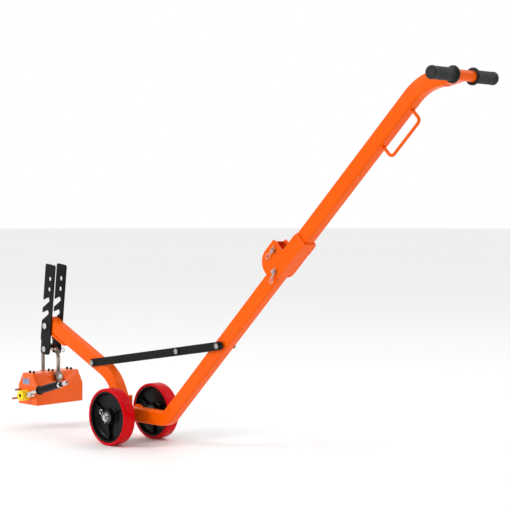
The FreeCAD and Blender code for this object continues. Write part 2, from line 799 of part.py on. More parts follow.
def lifting_arm():
    start = arm_frame().multVec(Vector(size("arm_start"), 0, size("arm_offset")))
    straight = size("arm_corner_along") - size("arm_start")
    reach = size("arm_reach") - size("nose_back")
    bent_tube("arm_tube", Placement(start, turned(size("arm_angle"))), "arm_depth", "arm_width",
              [straight, reach], [size("arm_turn")], [size("arm_bend_radius")])

    bush = bush_centre()
    back = size("arm_angle") + size("arm_turn") - 180
    top = size("arm_depth") / 2 + size("bush_drop")
    tube_floor = top - size("arm_depth")
    floor = -size("sleeve_depth")
    front, joint = -size("nose_radius"), size("nose_back")
    nose = body_at("arm_nose", Placement(bush, turned(back)))
    outline = sketch_on(nose, "nose_outline", "XZ_Plane")
    sleeve = size("sleeve_length")
    draw_outline(outline, [(front, floor, 22), (sleeve, floor, 2), (sleeve, tube_floor),
                           (joint, tube_floor), (joint, top), (front, top, 26)])
    padded(nose, outline, term("arm_width"))
    drilled(nose, "nose_bore", bush, "bush_radius")
    sub_part(nose)
    sub_part(ring("arm_bush", bush, "bush_radius", "bush_bore", "-bush_half", "bush_half"))

    yoke = body_at("arm_yoke", arm_frame())
    cheeks = sketch_on(yoke, "yoke_cheeks", "XZ_Plane")
    ring_radius, web, skin = size("yoke_ring"), size("yoke_web"), size("yoke_skin")
    reach = size("arm_start")

    def upright(x, z, rounding):
        point = arm_frame().inverse().multVec(spot(x, z))
        return point.x, point.z, rounding
    edge, sill = -size("yoke_edge"), size("yoke_sill")
    eye_corner = ring_radius - 1
    draw_outline(cheeks, [(reach + 27, 5, 5), upright(edge, sill, 4), upright(-23, sill, 4),
                          upright(-18, ring_radius, 8), upright(ring_radius, ring_radius, eye_corner),
                          upright(ring_radius, -ring_radius, eye_corner),
                          upright(-ring_radius, -ring_radius, eye_corner - 5),
                          (-5, skin, 4), (reach - 2, skin, 4), (reach + 36, web, 8)])
    padded(yoke, cheeks, "2 * Sizes.yoke_out")
    inside = sketch_on(yoke, "yoke_inside", "XZ_Plane")
    tube_skin = reach - 1
    draw_outline(inside, [(-60, -60), (120, -60), (120, 80), (tube_skin, 80), (tube_skin, web), (-60, web)])
    pocketed(yoke, inside, "2 * Sizes.yoke_in")
    drilled(yoke, "yoke_bore", spot(0, 0), "bearing_bore")
    sub_part(yoke)

    bumper = body_at("arm_bumper", arm_frame())
    pad_sketch = sketch_on(bumper, "bumper_profile", "XZ_Plane")
    low = size("bumper_along") - size("bumper_length") / 2
    high = size("bumper_along") + size("bumper_length") / 2
    cap = skin + size("bumper_height")
    draw_outline(pad_sketch, [(low, skin), (high, skin), (high, cap, 4), (low, cap, 4)])
    padded(bumper, pad_sketch, term("bumper_width"))
    sub_part(bumper)
    screw_base = arm_frame().multVec(Vector(size("bumper_along"), 0, cap))
    sub_part(cylinder("bumper_screw", screw_base, heading(size("arm_angle") + 90),
                      "bumper_screw_radius", term("bumper_screw_height")))


# ---------------------------------------------------------------- brace

def angle_between(start, end):
    step = end - start
    return math.degrees(math.atan2(step.z, step.x))


def brace():
    arm_pivot, fold_pivot, anchor = brace_points()
    half = size("brace_half_width")
    round_end = half - 0.1
    long_length = arm_pivot.distanceToPoint(fold_pivot)
    long_place = Placement(arm_pivot, turned(angle_between(arm_pivot, fold_pivot)))
    long_outline = [(-half, -half, round_end), (long_length + half, -half, round_end),
                    (long_length + half, half, round_end), (-half, half, round_end)]
    long_holes = [(0, 0, "running_bore"), (long_length, 0, "brace_pin_radius")]
    short_place = Placement(anchor, turned(angle_between(anchor, fold_pivot)))
    start = -half - size("brace_tail")
    end = size("brace_short") + half
    short_outline = [(start, -half, round_end), (end, -half, round_end),
                     (end, half, round_end), (start, half, round_end)]
    short_holes = [(0, 0, "running_bore"), (size("brace_short"), 0, "brace_pin_radius")]
    for name, side in (("near", -1), ("far", 1)):
        plate(f"brace_long_{name}", long_place, side, "long_in", "brace_bar", long_outline, long_holes)
        plate(f"brace_short_{name}", short_place, side, "short_in", "brace_bar", short_outline, short_holes)

    tube = across("brace_spacer_tube", fold_pivot, "brace_spacer_radius", "-long_in", "long_in")
    shank = across("brace_spacer_shank", fold_pivot, "brace_pin_radius", "-yoke_out", "yoke_out")
    sub_part(fused("brace_spacer", [tube, shank]))
    ends = []
    for side, sign in (("near", "-"), ("far", "")):
        limits = sorted((f"{sign}short_in", f"{sign}mid_head_in"), key=size)
        stub = across(f"mid_stub_{side}", fold_pivot, "brace_pin_radius", *limits)
        limits = sorted((f"{sign}mid_head_in", f"{sign}mid_head_out"), key=size)
        head = hexagon(f"mid_head_{side}", fold_pivot, "bolt_flats", *limits)
        ends.append(fused(f"mid_bolt_{side}", [stub, head]))
    sub_part(grouped("brace_mid_bolts", ends))

    shank = across("anchor_shank", anchor, "brace_pin_radius", "-anchor_head_out", "anchor_head_out")
    pieces = [shank]
    for side, sign in (("near", "-"), ("far", "")):
        limits = sorted((f"{sign}half_tube", f"{sign}anchor_spacer_stop"), key=size)
        pieces.append(across(f"anchor_spacer_{side}", anchor, "anchor_spacer_radius", *limits))
        limits = sorted((f"{sign}anchor_head_in", f"{sign}anchor_head_out"), key=size)
        pieces.append(hexagon(f"anchor_head_{side}", anchor, "bolt_flats", *limits))
    sub_part(fused("brace_anchor_bolt", pieces))

    pieces = []
    for side, sign in (("near", "-"), ("far", "")):
        limits = sorted((f"{sign}yoke_in", f"{sign}arm_bolt_head_in"), key=size)
        stub = across(f"arm_bolt_stub_{side}", arm_pivot, "brace_pin_radius", *limits)
        limits = sorted((f"{sign}arm_bolt_head_in", f"{sign}arm_bolt_head_out"), key=size)
        head = hexagon(f"arm_bolt_head_{side}", arm_pivot, "bolt_flats", *limits)
        pieces.append(fused(f"arm_bolt_{side}", [stub, head]))
    sub_part(grouped("brace_arm_bolts", pieces))


# ---------------------------------------------------------------- hook plates and shackle

def hook_slot(height):
    """Outline of an open slot: a round seat at this height, falling and widening to the free edge."""
    edge = -size("hook_half_width")
    lip = Vector(edge, height - size("hook_slot_lip"), 0)
    drop = Vector(edge, height - size("hook_slot_drop"), 0)
    seat = Vector(1, height, 0)
    way = ((lip + drop) / 2 - seat).normalize() * size("hook_slot_width") / 2
    across_way = Vector(way.y, -way.x, 0)
    top, low = seat - way + across_way, seat - way - across_way
    rounding = 0.5 * size("hook_slot_width")
    past_edge = 1.4
    mouth_low, mouth_top = low + (drop - low) * past_edge, top + (lip - top) * past_edge
    return [(top.x, top.y, rounding), (low.x, low.y, rounding), (mouth_low.x, mouth_low.y),
            (mouth_top.x, mouth_top.y)]


def hook_plates():
    half, step = size("hook_half_width"), size("hook_step")
    top, bottom = size("hook_top"), size("hook_bottom")
    waist = bottom + 51
    outline = [(-half, top, 8), (half, top, 8), (half, bottom, 12), (step - half, bottom, 12),
               (step - half, waist - 4, 3), (-half, waist + 2, 3)]
    holes = [(0, 0, "pivot_radius"), (0, -size("hanger_drop"), "hanger_radius"),
             (2, size("hook_hole_low"), "hook_hole_radius"), (2, size("hook_hole_high"), "hook_hole_radius")]
    for name, side in (("near", -1), ("far", 1)):
        body = plate(f"hook_plate_{name}", hook_frame(), side, "hook_in", "hook_bar", outline, holes)
        slots = sketch_on(body, f"hook_slots_{name}", "XZ_Plane")
        for height in (size("hook_slot_low"), size("hook_slot_high")):
            draw_outline(slots, hook_slot(height))
        pocketed(body, slots, "4 * Sizes.tube_width")

    bush = bush_centre()
    plate_out = size("hook_in") + size("hook_bar")
    shank = across("pivot_shank", bush, "pivot_radius", "-plate_skin", "pivot_nut_out")
    head = across("pivot_head", bush, "pivot_head_radius", "-pivot_head_out", "-plate_skin")
    nut = hexagon("pivot_nut", bush, "pivot_nut_flats", "plate_skin", "pivot_nut_out")
    sub_part(fused("arm_pivot_bolt", [shank, head, nut]))

    hanger = hanger_centre()
    shank = across("hanger_shank", hanger, "hanger_radius", "-hanger_head_out", "hanger_tip")
    head = across("hanger_head", hanger, "hanger_head_radius", "-hanger_head_out", "-plate_skin")
    clip_y = (size("hanger_tip") + plate_out) / 2 + 3
    base = hanger + Vector(0, clip_y, 0) - heading(-60) * 20
    clip_hole = cylinder("hanger_clip_hole", base, heading(-60), "wire_radius", "40")
    pin = cut("hanger_pin_drilled", fused("hanger_pin_solid", [shank, head]), clip_hole)
    washer = ring("hanger_washer", hanger, "hanger_washer_radius", "hanger_radius",
                  "plate_skin", "hanger_washer_out")
    sub_part(grouped("hanger_pin", [pin, washer]))
    sub_part(wire_clip("hanger_clip", hanger, -60, clip_y, 12.0, 18.0))


def shackle_eye_height():
    return size("wheel_radius") + size("magnet_z") + size("magnet_eye_height")


def shackle():
    """Round rod bent into a U, with an eye on each leg for the magnet's bolts."""
    half = size("shackle_half")
    centre = Vector(hanger_centre().x, 0, shackle_eye_height())
    bow = doc.addObject("Part::Torus", "shackle_bow")
    bow.setExpression("Radius1", term("shackle_half"))
    bow.setExpression("Radius2", term("shackle_rod"))
    bow.Angle3 = 180
    bow.Placement = Placement(centre + Vector(0, 0, size("shackle_bow")), Rotation(Vector(1, 0, 0), 90))
    pieces = [bow]
    bores = []
    for index, side in enumerate((-1, 1)):
        way = Vector(1, 0, 0)
        base = centre + Vector(side * half - size("eye_width") / 2, 0, 0)
        foot = centre + Vector(side * half, 0, size("leg_foot"))
        pieces.append(cylinder(f"shackle_leg_{index}", foot, Vector(0, 0, 1), "shackle_rod",
                               "Sizes.shackle_bow - Sizes.leg_foot"))
        pieces.append(cylinder(f"shackle_eye_{index}", base, way, "eye_radius", term("eye_width")))
        bores.append(cylinder(f"shackle_bore_{index}", base, way, "eye_bore", term("eye_width")))
    sub_part(cut("shackle", fused("shackle_solid", pieces), fused("shackle_bores", bores)))


# ---------------------------------------------------------------- magnet

def magnet_outline():
    half, height = size("magnet_half"), size("magnet_height")
    shoulder, crown = size("magnet_shoulder"), size("magnet_crown")
    return [(-half, 0), (half, 0), (half, shoulder), (crown, height), (-crown, height), (-half, shoulder)]


def magnet():
    place = magnet_frame()
    housing = body_at("magnet_body", place)
    section = sketch_on(housing, "housing_section", "XZ_Plane")
    draw_outline(section, magnet_outline())
    padded(housing, section, "2 * Sizes.magnet_block")
    half, pole, gap = size("magnet_half"), size("pole_height"), size("pole_gap") / 2
    for side in (-1, 1):
        pole_cut = sketch_on(housing, f"pole_seat_{side + 1}", "XZ_Plane")
        inner, outer = side * gap, side * (half + 1)
        draw_outline(pole_cut, [(inner, -1), (outer, -1), (outer, pole), (inner, pole)])
        pocketed(housing, pole_cut, "4 * Sizes.magnet_block")
        recess = sketch_on(housing, f"eye_recess_{side + 1}", "XZ_Plane")
        floor, roof = size("recess_floor"), size("magnet_height") + 1
        inner = side * size("recess_inner")
        draw_outline(recess, [(inner, floor), (outer, floor), (outer, roof), (inner, roof)])
        pocketed(housing, recess, "2 * Sizes.recess_half")
    drilled(housing, "rotor_chamber", lever_centre(), "rotor_bore", "4 * Sizes.magnet_block")
    sub_part(eye_bolt_holes(housing))

    poles = []
    for side in (-1, 1):
        left = min(side * gap, side * half)
        corner = place.multVec(Vector(left, -size("magnet_block"), 0))
        width = "Sizes.magnet_half - Sizes.pole_gap / 2"
        poles.append(block(f"pole_{side + 1}", Placement(corner, Rotation()), width,
                           "2 * Sizes.magnet_block", term("pole_height")))
    sub_part(grouped("pole_shoes", poles))

    for name, side in (("near", -1), ("far", 1)):
        corners = magnet_outline()
        holes = [(0, size("rotor_height"), "shaft_bore")] if side < 0 else []
        plate(f"end_cover_{name}", place, side, "magnet_block", "cover_thickness", corners, holes)

    screws = []
    for x in (-size("top_screw_side"), size("top_screw_side")):
        for y in (-size("top_screw_row"), 0, size("top_screw_row")):
            base = place.multVec(Vector(x, y, size("magnet_height")))
            screws.append(cylinder(f"top_screw_{len(screws)}", base, Vector(0, 0, 1),
                                   "top_screw_radius", term("top_screw_height")))
    sub_part(grouped("top_screws", screws))

    label_skin = -size("magnet_end") - size("label_thickness")
    corner = place.multVec(Vector(size("label_x"), label_skin, size("label_z")))
    sub_part(block("label_plate", Placement(corner, Rotation()), term("label_length"),
                   term("label_thickness"), term("label_height")))
    screws = []
    for x in (2, size("label_length") - 4):
        centre = corner + Vector(x, 0, size("label_screw_rise"))
        screws.append(across(f"label_screw_{x:.0f}", centre, "label_screw_radius",
                             "-label_screw_out", "-magnet_end"))
    sub_part(grouped("label_screws", screws))

    centre = lever_centre()
    def end_pin(name, x, z):
        return across(name, centre + Vector(x, 0, z), "end_pin_radius", f"-{name}_out", "-magnet_end")
    sub_part(end_pin("rest_pin", 48, 2))
    upper = end_pin("upper_limit", -44, 17)
    lower = end_pin("lower_limit", -53, -16)
    sub_part(grouped("limit_pins", [upper, lower]))


def eye_bolts():
    """The two bolts that hang the magnet in the shackle."""
    centre = Vector(hanger_centre().x, 0, shackle_eye_height())
    bolts = []
    for name, side in (("back", -1), ("front", 1)):
        way = Vector(side, 0, 0)
        shank = cylinder(f"eye_shank_{name}", centre + way * size("eye_bolt_in"), way,
                         "eye_bolt_radius", "Sizes.eye_bolt_out - Sizes.eye_bolt_in")
        head = cylinder(f"eye_head_{name}", centre + way * size("eye_bolt_neck"), way,
                        "eye_bolt_head", "Sizes.eye_bolt_out - Sizes.eye_bolt_neck")
        bolts.append(fused(f"eye_bolt_{name}", [shank, head]))
    return bolts


def eye_bolt_holes(housing):
    """The housing with the threaded holes of its two eye bolts."""
    centre = Vector(hanger_centre().x, 0, shackle_eye_height())
    holes = []
    for name, side in (("back", -1), ("front", 1)):
        way = Vector(side, 0, 0)
        holes.append(cylinder(f"eye_hole_{name}", centre + way * size("eye_bolt_in"), way,
                              "eye_bolt_radius", "30"))
    return cut("magnet_housing", housing, fused("eye_holes", holes))


def magnet_lever():
    """The rotor inside the magnet and the lever that turns it on and off."""
    centre = lever_centre()
    drum = across("rotor_drum", centre, "rotor_radius", "-rotor_half", "rotor_half")
    shaft = across("rotor_shaft", centre, "shaft_radius", "-lever_hub_in", "rotor_half")
    sub_part(fused("rotor", [drum, shaft]))
    angle = size("lever_angle")
    y = -size("lever_y")
    hub = across("lever_hub_disc", centre, "lever_hub_radius", "-lever_hub_out", "-lever_hub_in")
    hole = across("lever_hub_bore", centre, "lever_hub_hole", "-lever_hub_out", "-lever_y")
    sub_part(cut("lever_hub", hub, hole))
    rod = radial("lever_rod_bar", centre, angle, y, "lever_rod_radius", "lever_rod_start", "lever_rod_end")
    sub_part(cut("lever_rod", rod, across("lever_rod_seat", centre, "lever_hub_radius",
                                          "-lever_hub_out", "-lever_hub_in")))
    grip = radial("lever_grip_sleeve", centre, angle, y, "lever_grip_radius", "lever_rod_end",
                  "lever_grip_end")
    flange = radial("lever_grip_flange", centre, angle, y, "lever_flange_radius", "lever_rod_end",
                    "lever_flange_end")
    sub_part(fused("lever_grip", [grip, flange]))
    collar = radial("lever_collar", centre, angle, y, "lever_ring_radius", "lever_grip_end", "lever_ring_end")
    knob = radial("lever_tip", centre, angle, y, "lever_knob_radius", "lever_ring_end", "lever_knob_end")
    sub_part(fused("lever_knob", [collar, knob]))


# ---------------------------------------------------------------- checks and files

def build():
    axle_set()
    wheel("wheel_near", -1)
    wheel("wheel_far", 1)
    lower_tube()
    upper_tube()
    handle()
    folding_hinge()
    lifting_arm()
    brace()
    hook_plates()
    shackle()
    magnet()
    sub_part(grouped("shackle_bolts", eye_bolts()))
    magnet_lever()
    doc.recompute()


def check_and_export():
    for item in doc.Objects:
        if "Invalid" in item.State or "Error" in item.State:
            raise RuntimeError(f"{item.Name} did not build: {item.State}")
    labels = [piece.Label for piece in SUB_PARTS]
    if len(set(labels)) != len(labels):
        raise RuntimeError("two sub-parts share a label")
    os.makedirs("parts", exist_ok=True)
    for piece in SUB_PARTS:
        if piece.Shape.isNull() or not piece.Shape.isValid():
            raise RuntimeError(f"{piece.Label} has no valid shape")
    for piece in SUB_PARTS:
        piece.Shape.exportStep(f"parts/{piece.Label}.step")
    print(len(SUB_PARTS), "sub-parts written")


build()
check_and_export()
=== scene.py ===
"""Looks of the folding magnetic lifting dolly: finished pieces, materials, floor, light and camera."""
import bmesh
import bpy
import json
import math
from mathutils import Matrix, Vector


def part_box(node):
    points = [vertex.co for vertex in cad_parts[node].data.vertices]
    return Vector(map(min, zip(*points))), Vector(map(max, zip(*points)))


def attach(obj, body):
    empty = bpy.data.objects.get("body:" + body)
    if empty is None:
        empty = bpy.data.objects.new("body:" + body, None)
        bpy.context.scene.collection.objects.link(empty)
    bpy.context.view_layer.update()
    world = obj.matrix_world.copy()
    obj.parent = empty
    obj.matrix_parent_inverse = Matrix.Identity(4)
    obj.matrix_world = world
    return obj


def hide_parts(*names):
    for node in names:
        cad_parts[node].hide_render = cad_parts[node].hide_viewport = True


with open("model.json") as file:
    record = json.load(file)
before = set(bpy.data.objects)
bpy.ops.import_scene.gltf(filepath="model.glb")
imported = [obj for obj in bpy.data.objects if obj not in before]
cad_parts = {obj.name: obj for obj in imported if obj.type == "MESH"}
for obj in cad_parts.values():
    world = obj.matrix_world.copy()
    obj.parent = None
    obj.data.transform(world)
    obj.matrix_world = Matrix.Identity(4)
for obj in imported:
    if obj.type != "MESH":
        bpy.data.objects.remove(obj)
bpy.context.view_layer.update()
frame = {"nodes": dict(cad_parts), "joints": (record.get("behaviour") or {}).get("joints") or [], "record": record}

MM = 0.001
BODY_OF = {node: body for body, nodes in frame["record"]["behaviour"]["bodies"].items() for node in nodes}
SLOT_OF = {part["node"]: part["material_slot"] for part in frame["record"]["subparts"]}
JOINT = {joint["name"]: joint for joint in frame["joints"]}
SHARP_EDGE = math.radians(38)
FLAT_ENOUGH = math.radians(0.4)
SAME_POINT = 1e-6
TUBE_SLOPE = math.radians(44.63)
CAMERA_LENS, CAMERA_SENSOR = 100.07, 36.0
CAMERA_SPOT = (3.38626, -3.24527, 0.85431)
CAMERA_TURN, CAMERA_DIP = 44.914, 2.182
FLOOR_RADIUS = 40.0
LIT_MIDDLE = (-0.1, 0.0, 0.5)


# ---------------------------------------------------------------- materials

def new_material(name):
    """An empty material with its output and a Principled shader."""
    material = bpy.data.materials.new(name)
    material.use_nodes = True
    tree = material.node_tree
    return material, tree, tree.nodes["Principled BSDF"]


def noise(tree, scale, detail=3.0, stretch=(1.0, 1.0, 1.0), roughness=0.5):
    """Noise in the object's own coordinates; stretch squeezes it along an axis."""
    place = tree.nodes.new("ShaderNodeTexCoord")
    mapping = tree.nodes.new("ShaderNodeMapping")
    mapping.inputs["Scale"].default_value = stretch
    texture = tree.nodes.new("ShaderNodeTexNoise")
    texture.inputs["Scale"].default_value = scale
    texture.inputs["Detail"].default_value = detail
    texture.inputs["Roughness"].default_value = roughness
    tree.links.new(place.outputs["Object"], mapping.inputs["Vector"])
    tree.links.new(mapping.outputs["Vector"], texture.inputs["Vector"])
    return texture.outputs["Fac"]


def spread(tree, source, low, high):
    """Maps the middle of a noise to the range from low to high."""
    step = tree.nodes.new("ShaderNodeMapRange")
    step.inputs["From Min"].default_value = 0.3
    step.inputs["From Max"].default_value = 0.7
    step.inputs["To Min"].default_value = low
    step.inputs["To Max"].default_value = high
    tree.links.new(source, step.inputs["Value"])
    return step.outputs["Result"]


def blend_colours(tree, factor, first, second):
    mix = tree.nodes.new("ShaderNodeMix")
    mix.data_type = "RGBA"
    mix.inputs["A"].default_value = (*first, 1.0)
    mix.inputs["B"].default_value = (*second, 1.0)
    tree.links.new(factor, mix.inputs["Factor"])
    return mix.outputs["Result"]


def add_bump(tree, shader, height, strength, distance):
    bump = tree.nodes.new("ShaderNodeBump")
    bump.inputs["Strength"].default_value = strength
    bump.inputs["Distance"].default_value = distance
    tree.links.new(height, bump.inputs["Height"])
    tree.links.new(bump.outputs["Normal"], shader.inputs["Normal"])


def surface(name, light, dark, rough, metallic=0.0, patch=6.0, grain=900.0, stretch=(1.0, 1.0, 1.0),
            relief=0.15, depth=0.0002, coat=0.0, specular=0.5):
    """A finish with patches of colour, uneven gloss and a fine relief."""
    material, tree, shader = new_material(name)
    broad = spread(tree, noise(tree, patch, 4.0), 0.0, 1.0)
    tree.links.new(blend_colours(tree, broad, dark, light), shader.inputs["Base Color"])
    gloss = spread(tree, noise(tree, patch * 5, 3.0, stretch), rough[0], rough[1])
    tree.links.new(gloss, shader.inputs["Roughness"])
    shader.inputs["Metallic"].default_value = metallic
    shader.inputs["Specular IOR Level"].default_value = specular
    shader.inputs["Coat Weight"].default_value = coat
    shader.inputs["Coat Roughness"].default_value = 0.12
    add_bump(tree, shader, noise(tree, grain, 2.0, stretch), relief, depth)
    return material


def make_materials():
    """The finishes by name: the record's slots, and others for parts of a piece."""
    return {
        "orange_paint": surface("orange_powder_coat", (0.95, 0.122, 0.0004), (0.90, 0.108, 0.0002),
                                (0.22, 0.34), patch=5.0, grain=700.0, relief=0.08, depth=0.0003,
                                specular=0.10),
        "cast_paint": surface("orange_enamel", (0.98, 0.140, 0.006), (0.92, 0.122, 0.003), (0.2, 0.34),
                              patch=14.0, grain=420.0, relief=0.18, depth=0.0003, specular=0.3),
        "dark_nickel": surface("dark_nickel", (0.42, 0.35, 0.30), (0.16, 0.12, 0.095), (0.10, 0.2), 1.0,
                               patch=24.0, grain=1200.0, relief=0.05),
        "black_paint": surface("black_powder_coat", (0.0085, 0.0075, 0.007), (0.005, 0.0045, 0.004),
                               (0.3, 0.46), grain=1600.0, relief=0.35, depth=0.0003, specular=0.12),
        "zinc_steel": surface("zinc_plate", (0.50, 0.48, 0.45), (0.30, 0.28, 0.26), (0.2, 0.34), 1.0,
                              patch=60.0, grain=1500.0, relief=0.12),
        "bright_steel": surface("bright_steel", (0.62, 0.62, 0.62), (0.40, 0.39, 0.38), (0.14, 0.26), 1.0,
                                patch=60.0, grain=2500.0, relief=0.08),
        "chrome": surface("chrome_plate", (0.80, 0.80, 0.80), (0.52, 0.51, 0.50), (0.06, 0.14), 1.0,
                          patch=22.0, grain=1200.0, relief=0.05),
        "bare_steel": surface("ground_steel", (0.48, 0.47, 0.46), (0.34, 0.33, 0.33), (0.28, 0.42), 1.0,
                              patch=20.0, grain=900.0, stretch=(1.0, 14.0, 14.0), relief=0.2),
        "black_oxide": surface("black_oxide", (0.012, 0.012, 0.013), (0.007, 0.007, 0.007), (0.28, 0.42),
                               patch=60.0, grain=2600.0, specular=0.25),
        "pin_metal": surface("turned_copper", (0.72, 0.30, 0.17), (0.50, 0.19, 0.10), (0.2, 0.34), 1.0,
                             patch=60.0, grain=2200.0, stretch=(1.0, 9.0, 1.0)),
        "black_rubber": surface("moulded_rubber", (0.016, 0.016, 0.016), (0.009, 0.009, 0.009), (0.42, 0.6),
                                patch=20.0, grain=1800.0, relief=0.4, depth=0.0004, specular=0.3),
        "black_plastic": surface("moulded_nylon", (0.0055, 0.005, 0.005), (0.003, 0.0028, 0.0028),
                                 (0.2, 0.34), patch=16.0, grain=1100.0, relief=0.16, specular=0.12),
        "red_polyurethane": surface("cast_polyurethane", (0.70, 0.0016, 0.007), (0.56, 0.001, 0.0045),
                                    (0.2, 0.32), patch=18.0, grain=420.0, relief=0.10, depth=0.0003,
                                    specular=0.07),
        "yellow_plastic": surface("yellow_moulding", (0.95, 0.70, 0.008), (0.86, 0.58, 0.006), (0.24, 0.34),
                                  patch=40.0, grain=900.0, relief=0.1, specular=0.3),
        "grey_label": surface("anodised_label", (0.30, 0.38, 0.58), (0.20, 0.25, 0.38), (0.3, 0.45), 0.6,
                              patch=90.0, grain=1500.0),
    }


# ---------------------------------------------------------------- pieces

def place_piece(name, mesh, body, slot, *replaced, smooth=True):
    """Links a mesh as a piece that rides on a body and stands for the CAD nodes named."""
    piece = bpy.data.objects.new(name, mesh)
    bpy.context.scene.collection.objects.link(piece)
    mesh.materials.clear()
    mesh.materials.append(FINISH[slot])
    if smooth:
        mesh.polygons.foreach_set("use_smooth", [True] * len(mesh.polygons))
        mesh.set_sharp_from_angle(angle=SHARP_EDGE)
    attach(piece, body)
    if replaced:
        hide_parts(*replaced)
    return piece


def repaint(piece, finish, picks):
    """Gives the faces that picks chooses another finish."""
    piece.data.materials.append(FINISH[finish])
    for face in piece.data.polygons:
        if picks(face):
            face.material_index = 1


def softened(node, width, segments=3):
    """The CAD node with its sharp edges rounded, as paint, plating and deburring leave them."""
    source = frame["nodes"][node].data
    shape = bmesh.new()
    shape.from_mesh(source)
    bmesh.ops.remove_doubles(shape, verts=shape.verts, dist=SAME_POINT)
    bmesh.ops.dissolve_limit(shape, angle_limit=FLAT_ENOUGH, verts=shape.verts, edges=shape.edges,
                             use_dissolve_boundaries=False)
    mesh = bpy.data.meshes.new(f"{node}_finished")
    shape.to_mesh(mesh)
    shape.free()
    piece = place_piece(f"{node}_finished", mesh, BODY_OF[node], SLOT_OF[node], node)
    bevel = piece.modifiers.new("edges", "BEVEL")
    bevel.width = width
    bevel.segments = segments
    bevel.limit_method = "ANGLE"
    bevel.angle_limit = SHARP_EDGE
    bevel.use_clamp_overlap = True
    bevel.harden_normals = True
    return piece


def lathe(profile, segments, ripple=None):
    """Rings of points (radius, along) turned about +Z; ripple(angle, ring) adds to the radius."""
    shape = bmesh.new()
    rings = []
    for index, (radius, along) in enumerate(profile):
        ring = []
        for step in range(segments):
            angle = 2 * math.pi * step / segments
            reach = radius + (ripple(angle, index) if ripple else 0.0)
            ring.append(shape.verts.new((reach * math.cos(angle), reach * math.sin(angle), along)))
        rings.append(ring)
    for lower, upper in zip(rings, rings[1:]):
        for step in range(segments):
            after = (step + 1) % segments
            shape.faces.new((lower[step], lower[after], upper[after], upper[step]))
    return shape, rings


def finish_mesh(name, shape, matrix):
    bmesh.ops.remove_doubles(shape, verts=shape.verts, dist=1e-7)
    bmesh.ops.transform(shape, matrix=matrix, verts=shape.verts)
    bmesh.ops.recalc_face_normals(shape, faces=shape.faces)
    mesh = bpy.data.meshes.new(name)
    shape.to_mesh(mesh)
    shape.free()
    return mesh


def along_y(centre, direction=1):
    """Turns a lathe's +Z into +Y or -Y at centre."""
    return Matrix.Translation(centre) @ Matrix.Rotation(-direction * math.pi / 2, 4, "X")


def closed_lathe(profile, segments, ripple=None):
    """A lathe whose profile is a closed loop, such as a ring or a tyre."""
    return lathe(profile + profile[:1], segments, ripple)[0]


def capped_lathe(profile, segments, ripple=None):
    """A lathe closed by a flat cap at each end."""
    shape, rings = lathe(profile, segments, ripple)
    shape.faces.new(list(reversed(rings[0])))
    shape.faces.new(rings[-1])
    return shape


def round_corner(centre, radius, start, end, steps):
    """Points of an arc in the (radius, along) plane, angles in degrees."""
    points = []
    for step in range(steps + 1):
        angle = math.radians(start + (end - start) * step / steps)
        points.append((centre[0] + radius * math.cos(angle), centre[1] + radius * math.sin(angle)))
    return points


def wire_mesh(name, points, radius, cyclic=False):
    """A smooth round wire along control points."""
    curve = bpy.data.curves.new(name, "CURVE")
    curve.dimensions = "3D"
    curve.bevel_depth = radius
    curve.bevel_resolution = 4
    curve.resolution_u = 8
    curve.use_fill_caps = True
    spline = curve.splines.new("NURBS")
    spline.points.add(len(points) - 1)
    for point, spot in zip(spline.points, points):
        point.co = (*spot, 1.0)
    spline.order_u = 3
    spline.use_endpoint_u = not cyclic
    spline.use_cyclic_u = cyclic
    holder = bpy.data.objects.new(name, curve)
    bpy.context.scene.collection.objects.link(holder)
    bpy.context.view_layer.update()
    mesh = bpy.data.meshes.new_from_object(holder.evaluated_get(bpy.context.evaluated_depsgraph_get()))
    bpy.data.objects.remove(holder)
    bpy.data.curves.remove(curve)
    mesh.name = name
    return mesh


# ---------------------------------------------------------------- wheels

